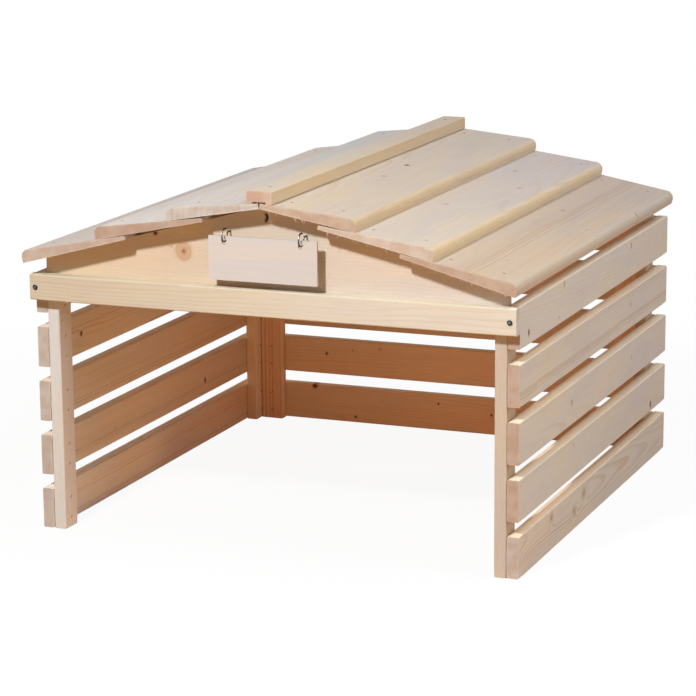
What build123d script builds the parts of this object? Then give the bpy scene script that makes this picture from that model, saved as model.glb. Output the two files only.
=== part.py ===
"""Open-fronted slatted shelter for small pets, with a lapped pitched roof and a hanging name board.

Millimetres. X runs across the shelter, Y from the open front to the back wall, Z up from the ground.
The origin is on the ground, midway between the side walls and midway along the roof.
"""
import os
from math import cos, radians, sin, sqrt, tan

from build123d import *

# Planed timber stock
SLAT_THICK = 18.0
SLAT_HEIGHT = 60.0
BATTEN_THICK = 18.0
BATTEN_WIDTH = 38.0
GABLE_THICK = 18.0
EDGE_ROUND = 2.0

# Walls
OVERALL_WIDTH = 728.0  # over the outer faces of the side slats
SIDE_LENGTH = 746.0  # one side slat
SLAT_COUNT = 5  # slats in each wall
SLAT_GAP = 20.0  # daylight between two slats
GABLE_LAP = 20.0  # height of a gable that the beam or the top back slat covers
PANEL_CLEARANCE = 0.5  # between side slats and what stands between them

# Roof
ROOF_PITCH = 15.0  # degrees, slope of the gable edges
ROOF_OVERHANG = 13.0  # past the beam in front and past the back slats
EAVE_OVERHANG = 2.0  # lowest nose past the outer faces of the side slats
EAVE_RISE = 17.5  # lowest nose above the top of the side slats
BOARD_WIDTH = 168.0  # nose to thin edge of a feather-edge board
BOARD_NOSE = 18.5  # thickness at the nose
BOARD_THIN = 5.5  # thickness at the thin edge
NOSE_ROUND = 11.0  # radius of the nose's upper corner
LOWER_COURSE = 116.0  # in plan, from the eave nose to the middle nose
UPPER_COURSE = 111.0  # in plan, from the middle nose to the upper nose
RIDGE_GAP = 0.5  # between the two upper boards
CAP_GROOVE_WIDTH = 20.0
CAP_GROOVE_DEPTH = 2.7

# Hanging name board and its hooks
SIGN_WIDTH = 162.0
SIGN_HEIGHT = 62.0
SIGN_THICK = 3.0
SIGN_CORNER = 1.0
SIGN_RISE = 11.5  # lower edge above the beam
SIGN_STANDOFF = 20.0  # its middle plane in front of the gable
SIGN_HOLE = 8.0
SIGN_HOLE_EDGE = 8.0  # hole centre below the upper edge
HOOK_SPACING = 114.0
HOOK_RADIUS = 9.0  # middle line of the wire ring
HOOK_WIRE = 2.2
HOOK_BEND = 2.4  # bend between shank and ring
HOOK_SWEEP = 300.0  # degrees of ring, from the shank round the bottom to the tip
HOOK_BITE = 14.0  # shank inside the gable

# Fasteners
SCREW_SHANK = 4.0
SCREW_HEAD = 8.0
SCREW_HEAD_HEIGHT = 2.4
SCREW_HEAD_ROUND = 1.4
SCREW_BITE = 14.0  # into cross grain
SCREW_END_BITE = 32.0  # into end grain
GABLE_SCREW_SPACING = 240.0
GABLE_SCREW_COUNT = 3
STAPLE_CROWN = 7.0
STAPLE_WIRE = 1.2
STAPLE_PROUD = 0.4
STAPLE_BITE = 12.0  # past the first piece
STAPLE_TILT = 35.0  # degrees between crown and slat
STAPLE_PITCH = 32.0  # between the two staples in one slat
ROOF_STAPLE_LEG = 30.0
ROOF_STAPLE_EDGE = 13.0  # upper staple from the next nose
ROOF_STAPLE_PITCH = 76.0  # lower staple from the upper one

# Heights
SLAT_PITCH = SLAT_HEIGHT + SLAT_GAP
WALL_TOP = SLAT_COUNT * SLAT_PITCH - SLAT_GAP
POST_TOP = WALL_TOP - GABLE_LAP
EAVE_X = OVERALL_WIDTH / 2 + EAVE_OVERHANG
EAVE_Z = WALL_TOP + EAVE_RISE
APEX_Z = EAVE_Z + EAVE_X * tan(radians(ROOF_PITCH))

# Stations from the middle outwards
SIDE_OUTER = OVERALL_WIDTH / 2
SIDE_INNER = SIDE_OUTER - SLAT_THICK
POST_INNER = SIDE_INNER - BATTEN_THICK
GABLE_HALF = SIDE_INNER - PANEL_CLEARANCE
BACK_POST_OUTER = POST_INNER - PANEL_CLEARANCE
BACK_POST_INNER = BACK_POST_OUTER - BATTEN_WIDTH

# Stations from front to back
BEAM_FRONT = -(SIDE_LENGTH + BATTEN_THICK) / 2
FRONT = BEAM_FRONT + BATTEN_THICK
REAR = FRONT + SIDE_LENGTH
BACK_FACE = REAR - SLAT_THICK
ROOF_LENGTH = REAR - BEAM_FRONT + 2 * ROOF_OVERHANG
ROOF_REAR = REAR + ROOF_OVERHANG
FRONT_GABLE_MID = FRONT + GABLE_THICK / 2
REAR_GABLE_MID = BACK_FACE - GABLE_THICK / 2

# Hanging point of the name board
HANG_Y = FRONT - SIGN_STANDOFF
HANG_Z = WALL_TOP + SIGN_RISE + SIGN_HEIGHT - SIGN_HOLE_EDGE

SIDES = {"left": -1, "right": 1}


def timber(x_ends, y_ends, z_ends, grain):
    """A planed bar between three pairs of limits, with the edges along its grain eased."""
    ends = [sorted(pair) for pair in (x_ends, y_ends, z_ends)]
    size = [high - low for low, high in ends]
    middle = [(high + low) / 2 for low, high in ends]
    bar = Pos(*middle) * Box(*size)
    return fillet(bar.edges().filter_by(grain), EDGE_ROUND)


def prism(points, rear, length):
    """A closed outline in X and Z, carried forward from its rear station."""
    outline = make_face(Polyline(*points, close=True))
    return lay_along(outline, rear, length)


def lay_along(outline, rear, length):
    """A face drawn in X and Z, stood at its rear station and extruded towards the front."""
    upright = Plane(origin=(0, rear, 0), x_dir=(1, 0, 0), z_dir=(0, -1, 0))
    return extrude(upright * outline, amount=length, dir=(0, -1, 0))


def slat_bottom(row):
    return row * SLAT_PITCH


def slat_lap(row):
    """Lower and upper limit of a slat's contact with the posts."""
    return slat_bottom(row), min(slat_bottom(row) + SLAT_HEIGHT, POST_TOP)


def slat_heights(row):
    return slat_bottom(row), slat_bottom(row) + SLAT_HEIGHT


# Roof board layout on the right slope, in X and Z
SLOPE = Vector(-cos(radians(ROOF_PITCH)), sin(radians(ROOF_PITCH)))
SLOPE_UP = Vector(sin(radians(ROOF_PITCH)), cos(radians(ROOF_PITCH)))
EAVE = Vector(EAVE_X, EAVE_Z)
APEX = Vector(0, APEX_Z)


class RoofBoard:
    """A feather-edge board, from its nose's lower corner along its underside."""

    def __init__(self, nose, along, width):
        self.nose = nose
        self.along = along
        self.up = Vector(along.Y, -along.X)
        self.width = width

    def thickness(self, reach):
        return BOARD_NOSE - (BOARD_NOSE - BOARD_THIN) * reach / BOARD_WIDTH

    def top(self, reach):
        """Point on the upper face, at a distance from the nose."""
        return self.nose + self.along * reach + self.up * self.thickness(reach)

    def reach_at(self, x):
        """Distance from the nose of the upper face's point at a given X."""
        start = self.top(0)
        end = self.top(self.width)
        return self.width * (start.X - x) / (start.X - end.X)

    def top_normal(self):
        span = self.top(self.width) - self.top(0)
        return Vector(span.Y, -span.X).normalized()

    def solid(self):
        end = self.nose + self.along * self.width
        corners = [self.nose, end, self.top(self.width), self.top(0)]
        outline = make_face(Polyline(*[(point.X, point.Y) for point in corners], close=True))
        nose_top = outline.vertices().sort_by_distance((corners[3].X, corners[3].Y))[0]
        return lay_along(fillet(nose_top, NOSE_ROUND), ROOF_REAR, ROOF_LENGTH)


def lay_roof():
    """Three boards from the eave up, each nose on the board below it."""
    lowest = RoofBoard(EAVE, SLOPE, BOARD_WIDTH)
    middle_x = EAVE_X - LOWER_COURSE
    nose = lowest.top(lowest.reach_at(middle_x))
    height = (nose - EAVE).dot(SLOPE_UP)
    foot = nose - SLOPE_UP * height
    seat = foot + SLOPE * sqrt(BOARD_WIDTH**2 - height**2)
    middle = RoofBoard(nose, (seat - nose).normalized(), BOARD_WIDTH)
    nose = middle.top(middle.reach_at(middle_x - UPPER_COURSE))
    along = (APEX - nose).normalized()
    upper = RoofBoard(nose, along, (nose.X - RIDGE_GAP / 2) / -along.X)
    return [lowest, middle, upper]


ROOF = lay_roof()
CAP_BOTTOM = ROOF[2].top(ROOF[2].reach_at(CAP_GROOVE_WIDTH / 2)).Y
CAP_TOP = CAP_BOTTOM + BATTEN_THICK


def gable(rear):
    """A gable board between the side walls, its upper edges on the roof's slope."""
    shoulder = EAVE_Z + (EAVE_X - GABLE_HALF) * tan(radians(ROOF_PITCH))
    outline = [
        (-GABLE_HALF, POST_TOP),
        (GABLE_HALF, POST_TOP),
        (GABLE_HALF, shoulder),
        (0, APEX_Z),
        (-GABLE_HALF, shoulder),
    ]
    return prism(outline, rear, GABLE_THICK)


def ridge_cap():
    half = BATTEN_WIDTH / 2
    groove = CAP_GROOVE_WIDTH / 2
    roof_of_groove = CAP_BOTTOM + CAP_GROOVE_DEPTH
    outline = [
        (-half, CAP_BOTTOM),
        (-groove, CAP_BOTTOM),
        (-groove, roof_of_groove),
        (groove, roof_of_groove),
        (groove, CAP_BOTTOM),
        (half, CAP_BOTTOM),
        (half, CAP_TOP),
        (-half, CAP_TOP),
    ]
    cap = prism(outline, ROOF_REAR, ROOF_LENGTH)
    upper_edges = cap.edges().filter_by(Axis.Y).group_by(Axis.Z)[-1]
    return fillet(upper_edges, EDGE_ROUND)


def name_board():
    """The thin hanging board, with a hole for each hook."""
    middle_z = HANG_Z + SIGN_HOLE_EDGE - SIGN_HEIGHT / 2
    board = Pos(0, HANG_Y, middle_z) * Box(SIGN_WIDTH, SIGN_THICK, SIGN_HEIGHT)
    board = fillet(board.edges().filter_by(Axis.Y), SIGN_CORNER)
    for side in SIDES.values():
        place = Pos(side * HOOK_SPACING / 2, HANG_Y, HANG_Z)
        board -= place * Rot(90, 0, 0) * Cylinder(SIGN_HOLE / 2, 2 * SIGN_THICK)
    return board


def screw_hook(side):
    """Wire bent from a level shank in the gable, round below, up in front and over the top."""
    shank_end = SIGN_STANDOFF + HOOK_BITE
    shank = Line((shank_end, HOOK_BEND), (HOOK_RADIUS + HOOK_BEND, HOOK_BEND))
    bend = CenterArc((HOOK_RADIUS + HOOK_BEND, 0), HOOK_BEND, 90, 90)
    ring = CenterArc((0, 0), HOOK_RADIUS, 0, -HOOK_SWEEP)
    upright = Plane(
        origin=(side * HOOK_SPACING / 2, HANG_Y, HANG_Z + HOOK_RADIUS),
        x_dir=(0, 1, 0),
        z_dir=(1, 0, 0),
    )
    path = upright * Wire([shank, bend, ring])
    section = Plane(origin=path @ 0, z_dir=path % 0) * Circle(HOOK_WIRE / 2)
    return sweep(section, path=path)


def screw(point, outward, length):
    """A round-headed screw: its head outside a face, its shank driven in from a point on the face."""
    head = Cylinder(SCREW_HEAD / 2, SCREW_HEAD_HEIGHT, align=(Align.CENTER, Align.CENTER, Align.MIN))
    head = fillet(head.edges().group_by(Axis.Z)[-1], SCREW_HEAD_ROUND)
    shank = Cylinder(SCREW_SHANK / 2, length, align=(Align.CENTER, Align.CENTER, Align.MAX))
    return Plane(origin=point, z_dir=outward) * (head + shank)


def staple(point, outward, crown_along, leg):
    """A wire staple: its crown on a face, its two legs driven in."""
    crown = Pos(0, 0, STAPLE_PROUD - STAPLE_WIRE / 2) * Box(STAPLE_CROWN, STAPLE_WIRE, STAPLE_WIRE)
    wire = crown
    for end in (-1, 1):
        place = Pos(end * (STAPLE_CROWN - STAPLE_WIRE) / 2, 0, STAPLE_PROUD)
        wire += place * Box(STAPLE_WIRE, STAPLE_WIRE, leg, align=(Align.CENTER, Align.CENTER, Align.MAX))
    return Plane(origin=point, x_dir=crown_along, z_dir=outward) * wire


def slat_staple_heights(row):
    """Heights of the two staples that hold one slat to a post."""
    low, high = slat_lap(row)
    reach = min(STAPLE_PITCH, (high - low) / 2) / 2
    middle = (low + high) / 2
    return middle - reach, middle + reach


TILT_ACROSS = cos(radians(STAPLE_TILT))
TILT_UP = sin(radians(STAPLE_TILT))
PANEL_STAPLE_LEG = BATTEN_THICK + STAPLE_BITE


def side_staples(side):
    """Staples through the two posts of a side wall into its slats."""
    inward = (-side, 0, 0)
    crown_along = (0, TILT_ACROSS, TILT_UP)
    post_middles = (FRONT + BATTEN_WIDTH / 2, BACK_FACE - BATTEN_WIDTH / 2)
    group = []
    for y in post_middles:
        for row in range(SLAT_COUNT):
            for z in slat_staple_heights(row):
                point = (side * POST_INNER, y, z)
                group.append(staple(point, inward, crown_along, PANEL_STAPLE_LEG))
    return group


def back_staples():
    """Staples through the two back posts into the back slats."""
    forward = (0, -1, 0)
    crown_along = (TILT_ACROSS, 0, TILT_UP)
    post_face = BACK_FACE - BATTEN_THICK
    post_middle = (BACK_POST_INNER + BACK_POST_OUTER) / 2
    group = []
    for side in SIDES.values():
        for row in range(SLAT_COUNT):
            for z in slat_staple_heights(row):
                point = (side * post_middle, post_face, z)
                group.append(staple(point, forward, crown_along, PANEL_STAPLE_LEG))
    return group


def roof_staples(side):
    """Two staples at each end of each board on one slope, driven into the gables."""
    next_noses = [EAVE_X - LOWER_COURSE, EAVE_X - LOWER_COURSE - UPPER_COURSE, BATTEN_WIDTH / 2]
    group = []
    for board, nose_x in zip(ROOF, next_noses):
        upper_reach = board.reach_at(nose_x) - ROOF_STAPLE_EDGE
        normal = board.top_normal()
        for reach in (upper_reach, upper_reach - ROOF_STAPLE_PITCH):
            place = board.top(reach)
            for y in (FRONT_GABLE_MID, REAR_GABLE_MID):
                point = (side * place.X, y, place.Y)
                outward = (side * normal.X, 0, normal.Y)
                down_slope = (side * normal.Y, 0, -normal.X)
                group.append(staple(point, outward, down_slope, ROOF_STAPLE_LEG))
    return group


def cap_staples():
    """One staple at each end of the ridge cap."""
    return [
        staple((0, y, CAP_TOP), (0, 0, 1), (1, 0, 0), ROOF_STAPLE_LEG)
        for y in (FRONT_GABLE_MID, REAR_GABLE_MID)
    ]


def beam_screws():
    """One screw through each end of the beam into the end grain of the top side slat."""
    x = SIDE_OUTER - SLAT_THICK / 2
    z = WALL_TOP - BATTEN_WIDTH / 2
    length = BATTEN_THICK + SCREW_END_BITE
    return [screw((side * x, BEAM_FRONT, z), (0, -1, 0), length) for side in SIDES.values()]


def gable_screws(face, outward, first_piece):
    """A row of screws through one piece into the piece that laps it at a gable's foot."""
    first = -GABLE_SCREW_SPACING * (GABLE_SCREW_COUNT - 1) / 2
    z = WALL_TOP - GABLE_LAP / 2
    places = [first + GABLE_SCREW_SPACING * step for step in range(GABLE_SCREW_COUNT)]
    return [screw((x, face, z), (0, outward, 0), first_piece + SCREW_BITE) for x in places]


def corner_screws():
    """Screws from behind, through the lowest back slat and the one below the top, into the rear posts."""
    x = (POST_INNER + SIDE_INNER) / 2
    group = []
    for side in SIDES.values():
        for row in (0, SLAT_COUNT - 2):
            z = slat_bottom(row) + SLAT_HEIGHT / 2
            group.append(screw((side * x, REAR, z), (0, 1, 0), SLAT_THICK + SCREW_BITE))
    return group


def build():
    """Every piece by name; a group of like fasteners is a list."""
    pieces = {}
    front_post = (FRONT, FRONT + BATTEN_WIDTH)
    rear_post = (BACK_FACE - BATTEN_WIDTH, BACK_FACE)
    for name, side in SIDES.items():
        wall = (side * SIDE_INNER, side * SIDE_OUTER)
        posts = (side * POST_INNER, side * SIDE_INNER)
        for row in range(SLAT_COUNT):
            slat = timber(wall, (FRONT, REAR), slat_heights(row), Axis.Y)
            pieces[f"side_slat_{name}_{row + 1}"] = slat
        pieces[f"front_post_{name}"] = timber(posts, front_post, (0, POST_TOP), Axis.Z)
        pieces[f"rear_post_{name}"] = timber(posts, rear_post, (0, POST_TOP), Axis.Z)
        corner = (side * BACK_POST_INNER, side * BACK_POST_OUTER)
        back_post = timber(corner, (BACK_FACE - BATTEN_THICK, BACK_FACE), (0, POST_TOP), Axis.Z)
        pieces[f"back_post_{name}"] = back_post
        pieces[f"side_staples_{name}"] = side_staples(side)
        pieces[f"roof_staples_{name}"] = roof_staples(side)
        pieces[f"screw_hook_{name}"] = screw_hook(side)
    for row in range(SLAT_COUNT):
        slat = timber((-GABLE_HALF, GABLE_HALF), (BACK_FACE, REAR), slat_heights(row), Axis.X)
        pieces[f"back_slat_{row + 1}"] = slat
    beam_heights = (WALL_TOP - BATTEN_WIDTH, WALL_TOP)
    pieces["front_beam"] = timber((-SIDE_OUTER, SIDE_OUTER), (BEAM_FRONT, FRONT), beam_heights, Axis.X)
    pieces["front_gable"] = gable(FRONT + GABLE_THICK)
    pieces["rear_gable"] = gable(BACK_FACE)
    for course, board in enumerate(ROOF, start=1):
        right = board.solid()
        pieces[f"roof_board_right_{course}"] = right
        pieces[f"roof_board_left_{course}"] = mirror(right, about=Plane.YZ)
    pieces["ridge_cap"] = ridge_cap()
    pieces["name_board"] = name_board()
    pieces["back_staples"] = back_staples()
    pieces["cap_staples"] = cap_staples()
    pieces["beam_screws"] = beam_screws()
    pieces["front_gable_screws"] = gable_screws(FRONT + GABLE_THICK, 1, GABLE_THICK)
    pieces["rear_gable_screws"] = gable_screws(REAR, 1, SLAT_THICK)
    pieces["corner_screws"] = corner_screws()
    return pieces


os.makedirs("parts", exist_ok=True)
for node, piece in build().items():
    shape = Compound(children=piece) if isinstance(piece, list) else piece
    export_step(shape, f"parts/{node}.step")
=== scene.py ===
# %% [markdown]
# # A slatted shelter of raw spruce
# The frame holds every piece of the shelter at its real size, as CAD solids in metres.
# This lesson dresses that frame: planed timber with eased edges, a grain that runs through
# each board as it does through a log, and the small steel that holds it all together.
# Nothing of the frame is moved. A piece either keeps its solid and gets a finish, or is made
# again in finer detail at the very place of its solid.

# %% Load the frame
from collections import namedtuple
from math import atan2, cos, pi, radians, sin
from random import Random

import bpy
from mathutils import Matrix, Quaternion, Vector


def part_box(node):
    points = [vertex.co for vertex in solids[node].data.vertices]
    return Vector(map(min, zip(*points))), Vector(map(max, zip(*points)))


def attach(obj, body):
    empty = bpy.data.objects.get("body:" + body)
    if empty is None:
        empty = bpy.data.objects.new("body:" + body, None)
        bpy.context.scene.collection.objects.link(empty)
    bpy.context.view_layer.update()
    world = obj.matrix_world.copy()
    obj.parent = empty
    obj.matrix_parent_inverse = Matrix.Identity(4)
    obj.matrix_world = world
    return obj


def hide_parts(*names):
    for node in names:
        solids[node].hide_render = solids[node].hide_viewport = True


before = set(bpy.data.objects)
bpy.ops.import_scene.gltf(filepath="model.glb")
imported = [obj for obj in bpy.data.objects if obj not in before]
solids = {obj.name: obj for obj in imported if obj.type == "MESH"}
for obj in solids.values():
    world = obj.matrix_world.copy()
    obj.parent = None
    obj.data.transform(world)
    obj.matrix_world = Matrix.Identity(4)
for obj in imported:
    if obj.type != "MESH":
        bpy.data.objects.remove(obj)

scene = bpy.context.scene
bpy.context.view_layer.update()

# %% [markdown]
# ## The camera
# The shelter is seen from the front right and a little above, from about four metres, with a
# long lens. A long lens from far away keeps the slats nearly parallel, as product pictures do.
# A wide lens close by would frame the same shelter but splay its corners, so the lens and the
# distance were chosen together. The small roll is the tilt of a tripod levelled by hand.

# %% Set up the camera
EYE = Vector((1.437, -3.644, 1.103))
AIM = Vector((-0.03, 0.0, 0.216))
ROLL = radians(0.455)
SENSOR = 36  # millimetres
LENS = 137

lens = bpy.data.cameras.new("photo_camera")
lens.lens = LENS
lens.sensor_width = SENSOR
camera = bpy.data.objects.new("photo_camera", lens)
scene.collection.objects.link(camera)
camera.location = EYE
camera.rotation_mode = "QUATERNION"
camera.rotation_quaternion = (AIM - EYE).to_track_quat("-Z", "Y") @ Quaternion((0, 0, 1), -ROLL)
scene.camera = camera
scene.view_settings.view_transform = "Standard"
print("camera is", round((AIM - EYE).length, 2), "m from the shelter")

# %% [markdown]
# ## Sums on sockets
# A finish is a small calculation: how far is this point from the heart of the log, and is that
# a dark ring or a pale one? In the node editor every sum is a node. Dragging hundreds of them
# is slow, so this class lets Python operators add the nodes: `1 - mask` becomes a Math node.
# Its method `node` adds any other kind, with the settings first and then the sockets.

# %% A wire that can do sums
WHITE = (1.0, 1.0, 1.0)


def sums(operation):
    """The two methods of an operator, for a sum like `wire - 1` and for one like `1 - wire`."""
    def plain(self, other):
        return self.math(operation, other)

    def reflected(self, other):
        return self.node("ShaderNodeMath", {"operation": operation}, {0: other, 1: self})

    return plain, reflected


class Wire:
    """An output socket in a node tree. Sums on it add Math nodes; node() adds any other node."""

    def __init__(self, tree, socket=None):
        self.tree = tree
        self.socket = socket

    def node(self, kind, settings=None, inputs=None, output=0):
        made = self.tree.nodes.new(kind)
        for name, value in (settings or {}).items():
            if name == "stops":
                set_stops(made.color_ramp.elements, value)
            else:
                setattr(made, name, value)
        for key, value in (inputs or {}).items():
            self.plug(made.inputs[key], value)
        return Wire(self.tree, made.outputs[output] if made.outputs else None)

    def plug(self, socket, value):
        if isinstance(value, Wire):
            self.tree.links.new(value.socket, socket)
        elif socket.type == "RGBA":
            socket.default_value = (*value, 1)
        else:
            socket.default_value = value

    def out(self, name):
        """Another output of the same node."""
        return Wire(self.tree, self.socket.node.outputs[name])

    def math(self, operation, *others):
        """This value in a Math node, with any others after it."""
        return self.node("ShaderNodeMath", {"operation": operation}, dict(enumerate((self, *others))))

    __add__, __radd__ = sums("ADD")
    __sub__, __rsub__ = sums("SUBTRACT")
    __mul__, __rmul__ = sums("MULTIPLY")
    __truediv__, __rtruediv__ = sums("DIVIDE")
    __pow__, __rpow__ = sums("POWER")

    def __abs__(self):
        return self.math("ABSOLUTE")

    def most(self, other):
        return self.math("MAXIMUM", other)

    def join(self, x=0.0, y=0.0, z=0.0):
        """A vector of three values."""
        return self.node("ShaderNodeCombineXYZ", None, {0: x, 1: y, 2: z})

    def split(self):
        """The parts of this vector, as outputs X, Y and Z."""
        return self.node("ShaderNodeSeparateXYZ", None, {0: self})

    def ease(self, start, end):
        """0 before start, 1 after end, smooth between; start may be the larger of the two."""
        settings = {"interpolation_type": "SMOOTHSTEP"}
        return self.node("ShaderNodeMapRange", settings, {0: self, 1: start, 2: end})

    def paint(self, below, above):
        """The colour above where this value is 1, and the colour below where it is 0."""
        return self.node("ShaderNodeMix", {"data_type": "RGBA"}, {0: self, 6: below, 7: above}, 2)

    def tint(self, share):
        """This colour times another one."""
        settings = {"data_type": "RGBA", "blend_type": "MULTIPLY"}
        return self.node("ShaderNodeMix", settings, {0: 1.0, 6: self, 7: share}, 2)

    def glaze(self, mask, share):
        """This colour, times another one where the mask is 1, as a glaze dims what it covers."""
        return self.tint(mask.paint(WHITE, share))


def set_stops(elements, stops):
    while len(elements) < len(stops):
        elements.new(1.0)
    for element, (place, colour) in zip(elements, stops):
        element.position = place
        element.color = (*colour, 1)


def new_finish(name):
    """A material with its Principled shader: the material, a first wire and the shader."""
    material = bpy.data.materials.new(name)
    material.use_nodes = True
    return material, Wire(material.node_tree), material.node_tree.nodes["Principled BSDF"]


def feed(wire, shader, **sockets):
    """Sets or links sockets of a shader; an underscore in a name stands for a space."""
    for name, value in sockets.items():
        wire.plug(shader.inputs[name.replace("_", " ")], value)


print("operators:", sorted(name for name in vars(Wire) if name.startswith("__r")))

# %% [markdown]
# ## The stage
# The shelter stands on white, cut out as for a catalogue. A real white floor would need more
# light than the timber can take, so the floor shows white to the camera, and to polished metal,
# by Light Path. To every other ray it is a plain floor that bounces light: sandy outside, and
# the colour of straw under the roof, where the light between raw boards turns warm. Near the
# shelter a little of a pale matt floor is mixed in for the camera, and that keeps the shadow.

# %% Lay the floor and the world
FLOOR_SIDE = 12.0
SAND = (0.55, 0.29, 0.12)
STRAW = (0.97, 0.57, 0.27)
PALE = (0.92, 0.92, 0.92)
SHADOW_SHARE = 0.07  # of the floor that the camera sees; the rest is plain white
SHADOW_REACH = (0.7, 1.6)  # metres from the middle over which the shadow share fades out
WALL_FADE = (0.03, -0.07)  # metres past the walls over which the straw floor ends
BACK_FADE = (0.05, -0.05)
AMBIENT = (0.20, 0.14, 0.10)


def seen_directly(wire):
    """1 for rays from the camera, off polished metal or through glass."""
    path = wire.node("ShaderNodeLightPath", output="Is Camera Ray")
    return path.most(path.out("Is Glossy Ray") + path.out("Is Transmission Ray"))


def under_roof(spot):
    """1 on the ground inside the walls, fading over their thickness."""
    spot = spot.split()
    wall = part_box("side_slat_right_1")[1].x
    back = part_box("back_slat_1")[1].y
    inside_x = abs(spot.out("X")).ease(*(wall + fade for fade in WALL_FADE))
    return inside_x * abs(spot.out("Y")).ease(*(back + fade for fade in BACK_FADE))


reach = FLOOR_SIDE / 2
corners = [(-reach, -reach, 0), (reach, -reach, 0), (reach, reach, 0), (-reach, reach, 0)]
floor_mesh = bpy.data.meshes.new("floor")
floor_mesh.from_pydata(corners, [], [(0, 1, 2, 3)])
floor = bpy.data.objects.new("floor", floor_mesh)
scene.collection.objects.link(floor)
floor_finish, wire, shader = new_finish("studio_floor")
wire.tree.nodes.remove(shader)
spot = wire.node("ShaderNodeTexCoord", output="Object")
away = wire.node("ShaderNodeVectorMath", {"operation": "LENGTH"}, {0: spot}, "Value")
bounce = wire.node("ShaderNodeBsdfDiffuse", None, {"Color": under_roof(spot).paint(SAND, STRAW)})
pale = wire.node("ShaderNodeBsdfDiffuse", None, {"Color": PALE})
white = wire.node("ShaderNodeEmission", None, {"Color": WHITE, "Strength": 1.0})
share = away.ease(SHADOW_REACH[1], SHADOW_REACH[0]) * SHADOW_SHARE
shown = wire.node("ShaderNodeMixShader", None, {0: share, 1: white, 2: pale})
mixed = wire.node("ShaderNodeMixShader", None, {0: seen_directly(wire), 1: bounce, 2: shown})
wire.plug(wire.tree.nodes["Material Output"].inputs["Surface"], mixed)
floor_mesh.materials.append(floor_finish)

world = bpy.data.worlds.new("studio")
scene.world = world
world.use_nodes = True
wire = Wire(world.node_tree)
glow = wire.node("ShaderNodeBackground", None, {"Color": AMBIENT, "Strength": 1.0})
white = wire.node("ShaderNodeBackground", None, {"Color": WHITE, "Strength": 1.0})
sky = wire.node("ShaderNodeMixShader", None, {0: seen_directly(wire), 1: glow, 2: white})
wire.plug(wire.tree.nodes["World Output"].inputs["Surface"], sky)
print("floor", FLOOR_SIDE, "m square, ambient", AMBIENT)

# %% [markdown]
# ## The lamps
# One rather hard lamp above the front, a little to the left, draws the stepped shadow of the
# roof boards on the gable. Two broad ones from the right, one low and one high, lift the wall in
# its shade and the upper edges of its slats. Lamps behind and at the left serve whoever walks
# round the shelter, and a dim amber one low down inside stands for the light that raw boards
# throw at each other. A sun lamp would light front and rear alike; a lamp at three metres loses
# strength towards the rear of the roof, as seen on the real one. Strengths are given as the
# light that arrives at the shelter.

# %% Hang the lamps
Lamp = namedtuple("Lamp", "heading distance width arriving colour aim")
COOL = (0.88, 1.0, 1.12)
AMBER = (1.0, 0.47, 0.26)
LAMPS = {
    "key": Lamp((0.14, 1, -0.9), 2.86, 0.26, 2.9, WHITE, (0, -0.38, 0.40)),
    "fill": Lamp((-1, 0.2, -0.35), 3.0, 1.5, 0.85, COOL, (0.36, 0, 0.20)),
    "overhead": Lamp((-0.8, 0.1, -1.2), 3.0, 1.5, 1.25, COOL, (0.1, 0, 0.40)),
    "rear": Lamp((0.15, -1, -0.12), 3.0, 0.8, 1.3, WHITE, (0, 0.38, 0.25)),
    "left": Lamp((1, 0, -0.05), 3.0, 0.8, 0.8, WHITE, (-0.36, 0, 0.20)),
    "glow": Lamp((-0.3, 0.6, 0.74), 0.25, 0.2, 1.1, AMBER, (0, 0.15, 0.27)),
}
for name, lamp in LAMPS.items():
    light = bpy.data.lights.new(name, "AREA")
    light.shape = "DISK"
    light.size = lamp.width
    light.color = lamp.colour
    light.energy = lamp.arriving * pi * lamp.distance**2
    heading = Vector(lamp.heading).normalized()
    hung = bpy.data.objects.new(name, light)
    hung.location = Vector(lamp.aim) - heading * lamp.distance
    hung.rotation_mode = "QUATERNION"
    hung.rotation_quaternion = heading.to_track_quat("-Z", "Y")
    hung.visible_camera = False
    hung.visible_glossy = name in ("key", "fill", "overhead")
    scene.collection.objects.link(hung)
print("lamps:", ", ".join(LAMPS))

# %% [markdown]
# ## Raw spruce: where a point lies in its board
# Timber is sawn along the trunk, so a board has three directions of its own: along the grain,
# across its width and through its thickness. A texture in plain X, Y, Z would run the same way
# through posts and slats. A Mapping node centres the board and turns a sloping one level, and
# the letters in `axes` say which axis is which, so one recipe serves every piece.

# %% Board directions
Place = namedtuple("Place", "middle size axes turn taper")
Board = namedtuple("Board", "wire along across through seed")
Streaks = namedtuple("Streaks", "along across detail shift")  # along and across: marks per metre


def board_space(wire, place, seed):
    spot = wire.node("ShaderNodeTexCoord", output="Object")
    moved = {"Vector": spot, "Location": place.middle, "Rotation": (0, place.turn, 0)}
    level = wire.node("ShaderNodeMapping", {"vector_type": "TEXTURE"}, moved)
    parts = level.split()
    return Board(wire, *(parts.out(letter) for letter in place.axes), seed)


def noise(spot, scale, detail):
    """Clouds in space, from 0 to 1."""
    return spot.node("ShaderNodeTexNoise", None, {"Vector": spot, "Scale": scale, "Detail": detail})


def wave(place):
    """Slow ups and downs along one line, from 0 to 1."""
    return place.node("ShaderNodeTexNoise", {"noise_dimensions": "1D"}, {"W": place, "Detail": 1.0})


def streaks(board, kind):
    """Noise drawn out along the grain, from 0 to 1."""
    along = board.along * kind.along + (board.seed + kind.shift)
    spot = board.wire.join(along, board.across * kind.across, board.through * kind.across)
    return noise(spot, 1.0, kind.detail)


def drift(board, waves, shift):
    """A slow wander along the board, from -0.5 to 0.5."""
    return wave(board.along * waves + (board.seed * 3.7 + shift)) - 0.5


print("a board is measured", Board._fields[1:4])

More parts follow.
